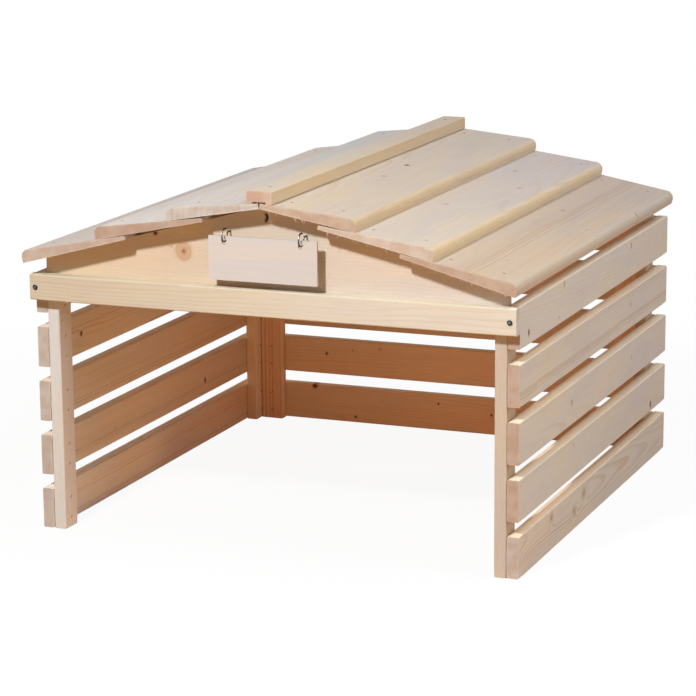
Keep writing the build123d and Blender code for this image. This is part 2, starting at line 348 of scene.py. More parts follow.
# %% [markdown]
# ## Raw spruce: growth rings
# A tree adds a pale band in spring and a thin dark one in late summer. A saw plane through
# those cylinders gives straight lines near the bark, arches in the middle of a wide board and
# arcs on its sawn ends. A wave texture on the face could fake the lines, but not the ends to
# match. Here the distance from the heart of the log is worked out in the board, so faces,
# edges and ends agree. A knot pushes that distance outwards, and the lines flow round it.

# %% Growth rings
Look = namedtuple("Look", "heart tilt ring figure knots veins", defaults=[(), ()])
Knot = namedtuple("Knot", "along across size stretch kind")
HEART_WANDER = 0.006  # metres that the heart strays from a straight line
RIPPLE = 0.0012
RIPPLES = Streaks(7, 70, 2.0, 9.0)
RAGGED_RIM = Streaks(170, 170, 1.0, 60.0)
RAGGED = 0.45  # how uneven a knot's rim is, in knot sizes
SWELL = 1.3  # how far rings bow round a knot, in knot sizes
SWELL_FADE = 0.22  # how soon they run straight again
VEIN = 0.0008  # half the width of a lone dark line
VEIN_WANDER = 0.004


def knot_reaches(board, knots):
    """For each knot the distance from its middle, 1 at its rim, a little ragged."""
    ragged = (streaks(board, RAGGED_RIM) - 0.5) * RAGGED if knots else None
    reaches = []
    for knot in knots:
        along = (board.along - knot.along) / (knot.size * knot.stretch)
        across = (board.across - knot.across) / knot.size
        reaches.append((along * along + across * across) ** 0.5 + ragged)
    return reaches


def ring_lines(board, look, reaches):
    """How dark the late wood is at each point, from 0 to 1."""
    across = board.across - look.heart[0] + board.along * look.tilt[0]
    through = board.through - look.heart[1] + board.along * look.tilt[1]
    across = across + drift(board, 1.3, 1.0) * HEART_WANDER
    through = through + drift(board, 1.1, 5.0) * HEART_WANDER
    radius = (across * across + through * through) ** 0.5
    for knot, reach in zip(look.knots, reaches):
        fall = reach * reach * -SWELL_FADE
        radius = radius + fall.math("EXPONENT") * (knot.size * SWELL)
    radius = radius + (streaks(board, RIPPLES) - 0.5) * RIPPLE
    count = radius / look.ring
    phase = count.math("FRACT")
    year = count.math("FLOOR") + board.seed
    dry = board.wire.node("ShaderNodeTexWhiteNoise", {"noise_dimensions": "1D"}, {"W": year})
    return phase.ease(0.4, 0.92) * phase.ease(1.0, 0.94) * (dry * 0.7 + 0.3)


def with_veins(board, veins, lines):
    """Lone dark lines at given places across the board, added to the rings."""
    for vein in veins:
        away = abs(board.across - vein + drift(board, 1.6, 70.0) * VEIN_WANDER)
        lines = lines.most(away.ease(VEIN, VEIN * 0.3) * 0.95)
    return lines


print("rings wander up to", HEART_WANDER * 1000, "mm")

# %% [markdown]
# ## Raw spruce: knots
# Every branch leaves a knot: a round heart darker and redder than the wood, often with a black
# rim of bark. Several kinds show on the shelter: sound pinkish ones, small dark ones, faint
# ones just under the face and one crescent where a knot has shrunk away. Modelled discs would
# have to sink into the face; as colour in the board's own space a knot goes right through the
# board and comes out on its far side, as a branch does. A ramp from its middle outwards holds
# the share of the wood's colour that is left.

# %% Knots
KNOT_SHARES = {  # stops from the middle to twice the knot's size
    "sound": [(0.0, (0.40, 0.24, 0.18)), (0.10, (0.60, 0.42, 0.33)), (0.18, (0.78, 0.62, 0.52)),
              (0.40, (0.86, 0.74, 0.65)), (0.46, (0.78, 0.64, 0.54)), (0.60, (0.97, 0.94, 0.90)),
              (0.8, WHITE)],
    "dark": [(0.0, (0.10, 0.06, 0.05)), (0.36, (0.17, 0.09, 0.07)), (0.5, (0.55, 0.38, 0.28)),
             (0.75, (0.88, 0.78, 0.69)), (1.0, WHITE)],
    "faint": [(0.0, (0.66, 0.50, 0.40)), (0.3, (0.80, 0.69, 0.60)), (0.6, (0.93, 0.88, 0.82)),
              (1.0, WHITE)],
}
CRESCENT = (0.06, 0.035, 0.025)
PIN_CELLS = 14.0  # cells per metre in which a pin knot may fall
PIN_SHARE = 0.05  # of the cells that have one
PIN_SIZE = 0.0012
PIN = (0.42, 0.26, 0.18)


def shade(tone, share):
    return tuple(a * b for a, b in zip(tone, share))


def draw_knots(board, colour, knots, reaches):
    for knot, reach in zip(knots, reaches):
        if knot.kind == "crescent":
            side = (board.along - knot.along).ease(-0.3 * knot.size, 0.4 * knot.size)
            line = reach.ease(0.05, 0.4) * reach.ease(1.3, 1.0) * side
            colour = colour.glaze(line, CRESCENT)
        else:
            stops = {"stops": KNOT_SHARES[knot.kind]}
            colour = colour.tint(board.wire.node("ShaderNodeValToRGB", stops, {0: reach * 0.5}))
    return colour


def draw_pins(board, colour):
    flat = board.wire.join(board.along, board.across)
    moved = {"Vector": flat, "Location": (board.seed, 0.7 * board.seed, 0)}
    flat = board.wire.node("ShaderNodeMapping", None, moved)
    cell = {"Vector": flat, "Scale": PIN_CELLS}
    cell = board.wire.node("ShaderNodeTexVoronoi", {"voronoi_dimensions": "2D"}, cell)
    chance = board.wire.node("ShaderNodeSeparateColor", None, {0: cell.out("Color")})
    size = PIN_SIZE * PIN_CELLS
    pin = cell.ease(1.5 * size, 0.7 * size) * chance.math("LESS_THAN", PIN_SHARE)
    return colour.glaze(pin, PIN)


print("knots:", ", ".join(KNOT_SHARES))

# %% [markdown]
# ## Raw spruce: sawn ends
# A sawn end shows open pores: it drinks light, looks pinker than the planed faces and keeps a
# pale fringe of torn fibres at its edges. The normal along the grain tells an end from a face,
# so both can live in one finish. Ring arcs and faint saw marks cross it.

# %% Sawn ends
FRINGE = 0.0016  # width of the torn fibres at a cut
OPEN_PORES = Streaks(60, 1500, 2.0, 50.0)
PATCHES = Streaks(5, 45, 2.0, 55.0)


def sawn_end(board, place, lines, cut):
    """Colour of a sawn end, and its pores for the bump."""
    pores = streaks(board, OPEN_PORES)
    stroke = board.across * 40.0 + board.through * 25.0
    teeth = board.through * 700.0 - board.across * 300.0
    saw = noise(board.wire.join(stroke, teeth, board.seed), 1.0, 1.0)
    patches = streaks(board, PATCHES).ease(0.35, 0.65)
    colour = patches.paint(shade(cut, (0.95, 0.91, 0.88)), shade(cut, (1.05, 1.09, 1.12)))
    colour = colour.glaze(lines * 0.5, (0.80, 0.71, 0.66))
    colour = colour.tint((pores.ease(0.45, 0.7) * 0.4).paint((0.98, 0.97, 0.96), (1.12, 1.14, 1.17)))
    colour = colour.tint(saw.ease(0.35, 0.65).paint((0.985, 0.98, 0.98), (1.015, 1.015, 1.02)))
    half = board.across * place.taper + place.size[2] / 2
    low_rim = (abs(board.through) - half).ease(-1.5 * FRINGE, 0.0)
    side_rim = abs(board.across).ease(place.size[1] / 2 - 1.5 * FRINGE, place.size[1] / 2)
    fringe = low_rim.most(side_rim) * pores.ease(0.35, 0.6)
    return colour.glaze(fringe * 0.8, (1.28, 1.36, 1.40)), pores


print("fringe of torn fibres", FRINGE * 1000, "mm")

# %% [markdown]
# ## Raw spruce: the whole finish
# The planed faces are built up like glazes, each a stretched noise: slow clouds between cream
# and grey-pink, fine fibre, short dark pores, the rings, then knots. The narrow edges of a
# board take a share of their own: yellower where the rings stand, and on some boards painted
# light or painted shade, as on the tops of the right slats and the upper edges of the gable.
# Roughness follows the rings, since late wood is denser, and the same lines raise a shallow
# bump; the eased edges are real geometry.

# %% Put the spruce together
LATE = (0.76, 0.60, 0.46)
CLOUDS = [(0.30, (1.04, 1.00, 0.93)), (0.5, WHITE), (0.68, (0.965, 0.96, 0.99))]
RELIEF = 0.0004
ZONES = Streaks(1.8, 30, 1.0, 20.0)
FIBRE = Streaks(22, 800, 3.0, 40.0)
PORES = Streaks(70, 900, 1.0, 45.0)
CLOUDING = Streaks(5.5, 24, 2.0, 30.0)


def planed_face(board, place, lines, reaches, tones, look, facing):
    """Colour of the planed faces, with the fibre and the grain that also shape the bump."""
    zones = streaks(board, ZONES).ease(0.38, 0.62)
    fibre = streaks(board, FIBRE)
    pores = streaks(board, PORES).ease(0.66, 0.78)
    grain = with_veins(board, look.veins, lines * (zones * 0.75 + 0.25) * look.figure)
    half = place.size[0] / 2
    colour = board.along.ease(-half, half).paint(tones.low, tones.high)
    clouds = streaks(board, CLOUDING)
    colour = colour.tint(board.wire.node("ShaderNodeValToRGB", {"stops": CLOUDS}, {0: clouds}))
    # narrow edges: edge-grain tone, and on some boards painted light or painted shade
    edge = abs(facing.out(place.axes[1])).ease(0.35, 0.8)
    colour = colour.glaze(edge, tones.edge)
    colour = colour.glaze(fibre.ease(0.42, 0.72) * 0.5, (0.92, 0.87, 0.80))
    colour = colour.glaze(pores * 0.5, (0.80, 0.70, 0.60))
    colour = draw_pins(board, colour.glaze(grain, LATE))
    return draw_knots(board, colour, look.knots, reaches), fibre, grain


def bump(height, strength, depth):
    return height.node("ShaderNodeBump", None, {"Strength": strength, "Distance": depth, "Height": height})


def spruce(name, place, tones, look, seed):
    """Raw planed spruce for one board."""
    material, wire, shader = new_finish(name)
    board = board_space(wire, place, seed)
    facing = wire.node("ShaderNodeTexCoord", output="Normal").split()
    end = abs(facing.out(place.axes[0])).ease(0.75, 0.92)
    reaches = knot_reaches(board, look.knots)
    lines = ring_lines(board, look, reaches)
    face, fibre, grain = planed_face(board, place, lines, reaches, tones, look, facing)
    cut, pores = sawn_end(board, place, lines, tones.cut)
    rough = 0.7 - grain * 0.12 + (fibre - 0.5) * 0.12 + end * 0.15
    height = fibre * 0.35 + grain * 0.6 + end * (pores - 0.5) * 1.4
    relief = bump(height, 0.35, RELIEF)
    feed(wire, shader, Base_Color=end.paint(face, cut), Roughness=rough, Normal=relief)
    feed(wire, shader, Specular_IOR_Level=0.2)
    return material


print("spruce relief", RELIEF * 1000, "mm")

# %% [markdown]
# ## What each board looks like
# No two boards are alike, so each gets its own seed, a heart of the log somewhere outside it
# and its own ring width. A board's tone may drift from one end to the other. Boards whose
# figure can be read are told more: the arches of the lowest right slat, the dark lines in the
# fourth, the round knot in the gable. The rest are drawn from a seeded random generator, so
# that every run gives the same timber.

# %% Tones
PLAIN = (1.0, 0.99, 0.96)
Tones = namedtuple("Tones", "low high cut edge", defaults=[PLAIN])
YELLOW = (1.03, 0.985, 0.87)
GOLDEN = (1.20, 1.07, 0.84)
HONEY = (1.28, 1.15, 0.85)
SILVERED = (1.10, 1.14, 1.12)
# painted light: the narrow top and bottom faces of the right slats are painted lighter, for light from
# above on their tops
PAINTED_LIGHT_EDGES = (1.32, 1.24, 1.08)
# lifts the front and back faces of the right front post, whose dark base tone paints shade on its sides
FRONT_LIFT_OVER_PAINTED_SHADE = (1.2, 1.38, 1.58)
# dims the front and back faces of the left front post, whose near-white base tone paints light on its
# sides
FRONT_DIM_UNDER_PAINTED_LIGHT = (0.77, 0.81, 0.83)
# painted shade: the gable's narrow faces that look up or down are painted near black
PAINTED_SHADE_EDGE = (0.22, 0.16, 0.12)  # an upper edge that the roof keeps in the dark
# Many tones also carry painted light: the inner walls and posts are partly painted warm for the orange
# light inside, the left slats paler at their front ends where light enters, and the slats and roof boards
# darker towards the rear where less light arrives.
TONES = {  # at the low and the high end of the grain, on sawn ends, and the share on narrow edges
    "side_slat_right_1": Tones((0.73, 0.66, 0.56), (0.66, 0.61, 0.53), (0.62, 0.57, 0.53), PAINTED_LIGHT_EDGES),
    "side_slat_right": Tones((0.71, 0.665, 0.58), (0.645, 0.605, 0.545), (0.58, 0.46, 0.38), PAINTED_LIGHT_EDGES),
    "side_slat_left_1": Tones((0.95, 0.95, 0.93), (0.85, 0.62, 0.40), (0.58, 0.54, 0.50)),
    "side_slat_left": Tones((0.88, 0.82, 0.72), (0.81, 0.63, 0.44), (0.58, 0.54, 0.50)),
    "back_slat_1": Tones((0.90, 0.72, 0.50), (0.90, 0.71, 0.49), (0.62, 0.48, 0.39)),
    "back_slat_2": Tones((0.86, 0.69, 0.49), (0.86, 0.68, 0.48), (0.62, 0.48, 0.39)),
    "back_slat": Tones((0.74, 0.61, 0.45), (0.72, 0.59, 0.43), (0.62, 0.48, 0.39)),
    # painted shade: a dark base tone darkens the sides of the right front post, seen between the slats
    "front_post_right": Tones((0.56, 0.45, 0.35), (0.55, 0.44, 0.34), (0.60, 0.47, 0.39), FRONT_LIFT_OVER_PAINTED_SHADE),
    # painted light: a near-white base tone lightens the sides of the left front post, whose inner face
    # sits in shade
    "front_post_left": Tones((0.94, 0.95, 0.96), (0.93, 0.94, 0.95), (0.62, 0.51, 0.44), FRONT_DIM_UNDER_PAINTED_LIGHT),
    # painted shade: the rear right post is painted darker, as its side lies in shade
    "rear_post_right": Tones((0.58, 0.45, 0.33), (0.57, 0.44, 0.32), (0.62, 0.46, 0.36)),
    "rear_post": Tones((0.94, 0.74, 0.52), (0.94, 0.74, 0.52), (0.62, 0.46, 0.36)),
    "back_post": Tones((0.91, 0.64, 0.42), (0.91, 0.64, 0.42), (0.62, 0.46, 0.36)),
    # painted light: the beam is painted lighter towards its right end, for light that falls more strongly
    # there
    "front_beam": Tones((0.665, 0.61, 0.485), (0.835, 0.815, 0.71), (0.66, 0.59, 0.51)),
    "front_gable": Tones((0.77, 0.65, 0.47), (0.76, 0.71, 0.66), (0.58, 0.42, 0.30), PAINTED_SHADE_EDGE),
    "rear_gable": Tones((0.78, 0.66, 0.52), (0.75, 0.64, 0.50), (0.60, 0.47, 0.38)),
    "roof_board_left_1": Tones((0.57, 0.52, 0.49), (0.56, 0.52, 0.49), (0.56, 0.47, 0.40), YELLOW),
    "roof_board_left_2": Tones((0.66, 0.62, 0.59), (0.63, 0.59, 0.56), (0.505, 0.39, 0.312), YELLOW),
    "roof_board_left_3": Tones((0.62, 0.59, 0.56), (0.59, 0.57, 0.55), (0.595, 0.555, 0.515), YELLOW),
    "roof_board_right_1": Tones((0.60, 0.48, 0.365), (0.51, 0.43, 0.37), (0.57, 0.45, 0.35), SILVERED),
    "roof_board_right_2": Tones((0.63, 0.55, 0.46), (0.56, 0.50, 0.47), (0.67, 0.58, 0.49), HONEY),
    "roof_board_right_3": Tones((0.62, 0.525, 0.42), (0.57, 0.50, 0.44), (0.58, 0.465, 0.365), GOLDEN),
    "ridge_cap": Tones((0.62, 0.54, 0.43), (0.57, 0.49, 0.41), (0.63, 0.48, 0.39), GOLDEN),
}


def tones_of(node):
    return next(tones for name, tones in TONES.items() if node.startswith(name))


print("tones for", len(TONES), "kinds of board")

# %% Looks
FIGURED = {  # along and across are metres from the middle of the board
    "side_slat_right_1": Look((0.010, -0.030), (0.03, 0.03), 0.0034, 0.9, [
        Knot(-0.071, 0.012, 0.007, 1.2, "faint"), Knot(-0.226, 0.018, 0.006, 1.2, "faint"),
        Knot(-0.117, -0.001, 0.005, 1.4, "faint")]),
    "side_slat_right_2": Look((0.05, -0.05), (0.01, 0.01), 0.003, 0.2, [
        Knot(0.288, -0.018, 0.0045, 0.7, "dark"), Knot(-0.125, 0.019, 0.003, 0.8, "faint")]),
    "side_slat_right_3": Look((-0.02, -0.06), (-0.02, 0.03), 0.0034, 0.30, [
        Knot(-0.135, 0.003, 0.0045, 0.9, "sound"), Knot(0.173, 0.004, 0.003, 0.8, "faint")]),
    "side_slat_right_4": Look((0.06, -0.03), (0.004, 0.01), 0.0036, 0.7, [
        Knot(0.164, 0.008, 0.0035, 0.7, "faint")], [-0.009, -0.0115, -0.014, -0.018]),
    "side_slat_right_5": Look((0.04, -0.06), (0.03, -0.02), 0.0032, 0.22, [
        Knot(-0.336, -0.013, 0.004, 0.6, "dark"), Knot(-0.177, 0.024, 0.005, 0.6, "sound"),
        Knot(0.164, 0.018, 0.0055, 0.6, "sound")]),
    "side_slat_left_4": Look((-0.03, 0.04), (0.06, 0.03), 0.0036, 0.8, [
        Knot(-0.273, 0.0, 0.0035, 0.8, "dark")], [0.012]),
    "side_slat_left_3": Look((0.05, 0.03), (0.015, -0.01), 0.003, 1.1, veins=[-0.016, -0.021]),
    "side_slat_left_2": Look((0.05, 0.03), (-0.01, 0.02), 0.0028, 1.1, [
        Knot(0.152, -0.006, 0.0042, 0.6, "dark")], [-0.012]),
    "side_slat_left_1": Look((-0.05, 0.03), (0.0, 0.02), 0.003, 1.1, veins=[0.006, -0.02]),
    "back_slat_1": Look((0.06, 0.05), (0.03, 0.02), 0.0034, 0.5, [
        Knot(-0.237, 0.027, 0.0032, 1.3, "dark"), Knot(-0.164, -0.020, 0.0018, 1.0, "dark"),
        Knot(-0.016, 0.015, 0.0016, 1.0, "dark"), Knot(0.077, 0.003, 0.0016, 1.0, "dark")]),
    "back_slat_2": Look((-0.05, 0.06), (0.02, 0.02), 0.0032, 0.4, [
        Knot(-0.215, 0.005, 0.0020, 1.0, "dark"), Knot(-0.119, 0.02, 0.003, 1.2, "faint")]),
    "back_post_left": Look((0.07, 0.01), (0.0, 0.0), 0.0065, 1.0, veins=[-0.011, -0.004, 0.001]),
    "front_beam": Look((0.03, -0.05), (0.02, 0.03), 0.0040, 0.45),
    "front_gable": Look((-0.12, -0.06), (0.02, 0.01), 0.0046, 0.13, [
        Knot(-0.129, -0.004, 0.0118, 1.0, "sound"), Knot(-0.148, 0.002, 0.0013, 1.4, "faint"),
        Knot(-0.172, 0.019, 0.0024, 1.2, "dark"), Knot(-0.005, 0.051, 0.007, 0.7, "crescent")]),
    "roof_board_left_3": Look((0.0, -0.012), (0.02, 0.01), 0.0090, 0.5, veins=[0.02, 0.034]),
    "roof_board_right_1": Look((0.13, -0.04), (0.03, 0.0), 0.0030, 0.65, [
        Knot(0.084, -0.005, 0.0028, 1.6, "faint"), Knot(0.19, 0.08, 0.003, 1.0, "faint")],
        [0.006, 0.010, 0.014, 0.021]),
    "roof_board_right_2": Look((0.06, -0.06), (0.03, 0.02), 0.0036, 0.3, [
        Knot(-0.115, -0.001, 0.0035, 1.2, "faint"), Knot(0.205, -0.002, 0.0030, 1.6, "sound"),
        Knot(0.088, 0.044, 0.003, 1.6, "faint")]),
    "roof_board_right_3": Look((-0.05, -0.07), (0.03, 0.02), 0.0036, 0.35, [
        Knot(0.024, -0.014, 0.0030, 1.4, "dark"), Knot(-0.082, -0.010, 0.0035, 1.2, "faint")]),
}


def look_of(node, seed):
    """A board's own look, or one drawn from its seed."""
    draw = Random(seed)
    heart_across = draw.choice((-1, 1)) * draw.uniform(0.04, 0.10)
    heart_through = draw.choice((-1, 1)) * draw.uniform(0.03, 0.06)
    tilt = (draw.uniform(-0.03, 0.03), draw.uniform(-0.015, 0.015))
    ring = draw.uniform(0.0028, 0.0040)
    drawn = Look((heart_across, heart_through), tilt, ring, draw.uniform(0.25, 0.5))
    return FIGURED.get(node, drawn)


SEEDS = {node: 3.0 + 1.7 * place for place, node in enumerate(sorted(solids))}
print("boards with a look of their own:", len(FIGURED))

# %% [markdown]
# ## A tree that planes timber
# Slats, posts and the beam are the same thing in different sizes: a planed bar whose long edges
# are eased by two millimetres and whose ends are simply sawn off. A cube with a Bevel modifier
# would round the ends too. This Geometry Nodes tree sweeps a filleted rectangle along a line,
# takes a hair off the sawn corners, and lets the width wander by a fraction of a millimetre
# as a planer does. Its inputs are the sizes of one bar, read from the solid it stands for.

# %% Helpers for Geometry Nodes trees
def new_tree(name, inputs):
    """A Geometry Nodes group with named inputs: the group, a first wire and the inputs' wires."""
    tree = bpy.data.node_groups.new(name, "GeometryNodeTree")
    for label, kind in inputs.items():
        tree.interface.new_socket(label, in_out="INPUT", socket_type="NodeSocket" + kind)
    tree.interface.new_socket("Mesh", in_out="OUTPUT", socket_type="NodeSocketGeometry")
    wire = Wire(tree)
    first = wire.node("NodeGroupInput")
    return tree, wire, {label: first.out(label) for label in inputs}


def end_tree(wire, geometry, material):
    """Closes a tree: instances become mesh, and the mesh takes its finish."""
    real = wire.node("GeometryNodeRealizeInstances", None, {0: geometry})
    dressed = wire.node("GeometryNodeSetMaterial", None, {"Geometry": real, "Material": material})
    wire.node("NodeGroupOutput", None, {0: dressed})


def straight_line(wire, count):
    """A line of so many points, and the place of each on it from -1 to 1."""
    line = wire.node("GeometryNodeCurvePrimitiveLine", None, {"Start": (-1, 0, 0), "End": (1, 0, 0)})
    line = wire.node("GeometryNodeResampleCurve", None, {"Curve": line, "Count": count})
    return line, wire.node("GeometryNodeSplineParameter") * 2.0 - 1.0


def set_place(wire, geometry, position):
    return wire.node("GeometryNodeSetPosition", None, {"Geometry": geometry, "Position": position})


def sweep(wire, line, outline):
    swept = {"Curve": line, "Profile Curve": outline, "Fill Caps": True}
    return wire.node("GeometryNodeCurveToMesh", None, swept)


def smooth(wire, geometry, where=True):
    return wire.node("GeometryNodeSetShadeSmooth", None, {"Geometry": geometry, "Shade Smooth": where})


def round_wire(wire, line, thickness, sides):
    section = {"Resolution": sides, "Radius": thickness * 0.5}
    section = wire.node("GeometryNodeCurvePrimitiveCircle", {"mode": "RADIUS"}, section)
    return smooth(wire, sweep(wire, line, section))


def grow(name, tree, values, start=None):
    """A piece grown by a tree: its evaluated mesh as a plain mesh, and no modifier left."""
    piece = bpy.data.objects.new(name, start or bpy.data.meshes.new(name))
    scene.collection.objects.link(piece)
    grower = piece.modifiers.new("grow", "NODES")
    grower.node_group = tree
    for item in tree.interface.items_tree:
        if item.in_out == "INPUT" and item.name in values:
            grower[item.identifier] = values[item.name]
    depsgraph = bpy.context.evaluated_depsgraph_get()
    grown = bpy.data.meshes.new_from_object(piece.evaluated_get(depsgraph))
    piece.modifiers.remove(grower)
    piece.data = grown
    grown.name = name
    return piece


def settle(piece, slot, *nodes):
    """A piece that belongs to the shelter and stands for some of its solids."""
    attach(piece, "hutch")
    if nodes:
        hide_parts(*nodes)


print("trees end in Realize Instances and Set Material")

# %% The planed bar
EDGE_ROUND = 0.002
SAW_EASE = 0.0004
RINGS = 29  # cross-sections along a bar
WANDER = 0.008  # share of a bar's width that the planer may take too much
FLAT = 0.985  # a face counts as flat when its normal lies this close to an axis

timber_tree, wire, size = new_tree("planed_timber", {
    "Length": "Float", "Width": "Float", "Thickness": "Float", "Edge Round": "Float", "Saw Ease": "Float",
    "Wander": "Float", "Seed": "Float", "Middle": "Vector", "Along": "Vector", "Across": "Vector",
    "Finish": "Material"})
half = size["Length"] * 0.5
line, station = straight_line(wire, RINGS)
station = station * ((RINGS - 1) / (RINGS - 3))
inner = station.most(-1.0).math("MINIMUM", 1.0)
last = (station - inner).math("SIGN")
place = inner * (half - size["Saw Ease"]) + last * size["Saw Ease"]
line = set_place(wire, line, wire.join(place))
outline = {"Width": size["Width"], "Height": size["Thickness"]}
outline = wire.node("GeometryNodeCurvePrimitiveQuadrilateral", None, outline)
outline = {"Curve": outline, "Count": 4, "Radius": size["Edge Round"], "Limit Radius": True}
outline = wire.node("GeometryNodeFilletCurve", {"mode": "POLY"}, outline)
bar = sweep(wire, line, outline)
here = wire.node("GeometryNodeInputPosition").split()
at_end = abs(here.out("X")).math("GREATER_THAN", half - size["Saw Ease"] * 0.5)


def planed(direction, breadth, shift):
    """A coordinate of the cross-section, drawn in at the sawn end and by the planer's wander."""
    uneven = wave(here.out("X") * 3.0 + size["Seed"] + shift)
    keep = 1.0 - size["Wander"] * uneven - at_end * size["Saw Ease"] * 2.0 / breadth
    return here.out(direction) * keep


across, through = planed("Y", size["Width"], 0.0), planed("Z", size["Thickness"], 40.0)
bar = set_place(wire, bar, wire.join(here.out("X"), across, through))
slope = wire.node("GeometryNodeInputNormal").split()
steepest = abs(slope.out("X")).most(abs(slope.out("Y")).most(abs(slope.out("Z"))))
rounded = steepest.math("LESS_THAN", FLAT)
bar = smooth(wire, bar, rounded)
turned = {"Primary Axis": size["Along"], "Secondary Axis": size["Across"]}
turned = wire.node("FunctionNodeAxesToRotation", {"primary_axis": "X", "secondary_axis": "Y"}, turned)
bar = {"Geometry": bar, "Translation": size["Middle"], "Rotation": turned}
end_tree(wire, wire.node("GeometryNodeTransform", None, bar), size["Finish"])
print("planed bar:", len(timber_tree.nodes), "nodes")

# %% [markdown]
# ## Slats, posts and beam
# Each wall has five slats, their gaps as wide as a thumb; two posts per wall carry them, and a
# beam on edge closes the front. Every bar reads its place and size from its solid and stands
# for it. One piece per board, and not one per wall, lets each carry its own grain.

# %% Plane every bar
AXIS = {"X": Vector((1, 0, 0)), "Y": Vector((0, 1, 0)), "Z": Vector((0, 0, 1))}
BARS = {  # the axes along, across and through the grain
    "side_slat": "YZX", "back_slat": "XZY", "front_post": "ZYX", "rear_post": "ZYX",
    "back_post": "ZXY", "front_beam": "XZY"}


def square_place(node, axes):
    """Place of a board that lies square to the axes."""
    low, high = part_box(node)
    span = dict(zip("XYZ", high - low))
    return Place((low + high) / 2, [span[letter] for letter in axes], axes, 0.0, 0.0)


def spruce_for(node, place):
    return spruce("spruce_" + node, place, tones_of(node), look_of(node, SEEDS[node]), SEEDS[node])


def plane_bar(node, axes):
    place = square_place(node, axes)
    return grow(node + "_planed", timber_tree, {
        "Length": place.size[0], "Width": place.size[1], "Thickness": place.size[2],
        "Edge Round": EDGE_ROUND, "Saw Ease": SAW_EASE, "Wander": WANDER, "Seed": SEEDS[node],
        "Middle": place.middle, "Along": AXIS[axes[0]], "Across": AXIS[axes[1]],
        "Finish": spruce_for(node, place)})


bars = []
for kind, axes in BARS.items():
    for node in sorted(name for name in solids if name.startswith(kind)):
        bar = plane_bar(node, axes)
        settle(bar, "wall_timber" if "slat" in kind else "frame_timber", node)
        bars.append(bar)
print("bars:", len(bars), "faces each:", len(bars[0].data.polygons))

# %% [markdown]
# ## Gables, roof boards and ridge cap
# These shapes are already right in the solids: the pitched gable, the feather-edge boards with
# their round noses and the grooved cap. They keep their solids and take the spruce. The roof
# boards slope, each a little less than the one below it, so the slope is measured: halfway
# between the largest face that looks up and the largest that looks down.

# %% Dress the solids that stay
NOSE, THIN = 0.0185, 0.0055  # thickness of a roof board at its two edges


def dress(node, finish):
    for holder in solids[node].material_slots:
        holder.material = finish


def broad_face(node, way):
    """The largest face of a solid that looks up (1) or down (-1)."""
    return max(solids[node].data.polygons, key=lambda face: face.area * (face.normal.z * way > 0.5))


def sloping_place(node):
    """Place of a roof board, measured along its own slope."""
    slopes = [broad_face(node, way).normal * way for way in (1, -1)]
    turn = sum(atan2(normal.x, normal.z) for normal in slopes) / 2
    level = Matrix.Rotation(-turn, 3, "Y")
    points = [level @ vertex.co for vertex in solids[node].data.vertices]
    low = Vector([min(values) for values in zip(*points)])
    high = Vector([max(values) for values in zip(*points)])
    width = high.x - low.x
    taper = (NOSE - THIN) / 2 / width * (1 if turn > 0 else -1)
    middle = Matrix.Rotation(turn, 3, "Y") @ ((low + high) / 2)
    return Place(middle, [high.y - low.y, width, (NOSE + THIN) / 2], "YXZ", turn, taper)


roof_boards = sorted(name for name in solids if name.startswith("roof_board"))
for node in ("front_gable", "rear_gable"):
    dress(node, spruce_for(node, square_place(node, "XZY")))
dress("ridge_cap", spruce_for("ridge_cap", square_place("ridge_cap", "YXZ")))
for node in roof_boards:
    dress(node, spruce_for(node, sloping_place(node)))
print("slopes:", [round(sloping_place(node).turn * 180 / pi, 1) for node in roof_boards])

# %% [markdown]
# ## Where the fasteners sit
# Staples and screws come as groups of small solids. Each is found in its group by walking from
# face to face: corners that share a face belong to one solid. The points where they meet the
# wood, the way out of it and the line of the crown are all a tree needs to set them again.

# %% Find the fasteners
STAPLE_TILT = radians(35)
CROWN_LINES = {
    "side": Vector((0, cos(STAPLE_TILT), sin(STAPLE_TILT))),
    "back": Vector((cos(STAPLE_TILT), 0, sin(STAPLE_TILT))),
}


def loose_parts(node):
    """The corners of each separate solid in a group."""
    mesh = solids[node].data
    part_of = {}
    for face in mesh.polygons:
        corners = {tuple(round(v, 5) for v in mesh.vertices[i].co) for i in face.vertices}
        merged = corners.union(*(part_of.get(corner, ()) for corner in corners))
        part_of.update((corner, merged) for corner in merged)
    parts = {id(part): part for part in part_of.values()}.values()
    return [[Vector(corner) for corner in part] for part in parts]


def mean(points):
    return sum(points, Vector()) / len(points)


def seat_points(name, seats):
    """A mesh of bare points that carry the way out and the crown's line."""
    mesh = bpy.data.meshes.new(name)
    mesh.from_pydata([point for point, out, crown in seats], [], [])
    for label, column in (("outward", 1), ("crown", 2)):
        values = [value for seat in seats for value in seat[column]]
        mesh.attributes.new(label, "FLOAT_VECTOR", "POINT").data.foreach_set("vector", values)
    return mesh


def set_on_points(wire, points, item):
    """Instances of an item whose Z points outward and whose X follows the crown."""
    axes = {}
    for socket, label in (("Primary Axis", "outward"), ("Secondary Axis", "crown")):
        named = {"data_type": "FLOAT_VECTOR"}
        axes[socket] = wire.node("GeometryNodeInputNamedAttribute", named, {"Name": label})
    turned = wire.node("FunctionNodeAxesToRotation", {"primary_axis": "Z", "secondary_axis": "X"}, axes)
    placed = {"Points": points, "Instance": item, "Rotation": turned}
    return wire.node("GeometryNodeInstanceOnPoints", None, placed)


print("staples at the left:", len(loose_parts("side_staples_left")))

# %% [markdown]
# ## Steel
# Three steels: galvanised staple wire, dark coated screws and bright zinc-plated hooks. Metal
# shows its surroundings more than a colour of its own, so Metallic stays at 1 and the variation
# goes into roughness and a faint mottle, as plating grows in small crystals. The white stage
# would fill every mirror with white, so the base colour is painted dark on the sides that look
# away from a lamp or the front: a painted reflection, with a painted highlight left on the rest.

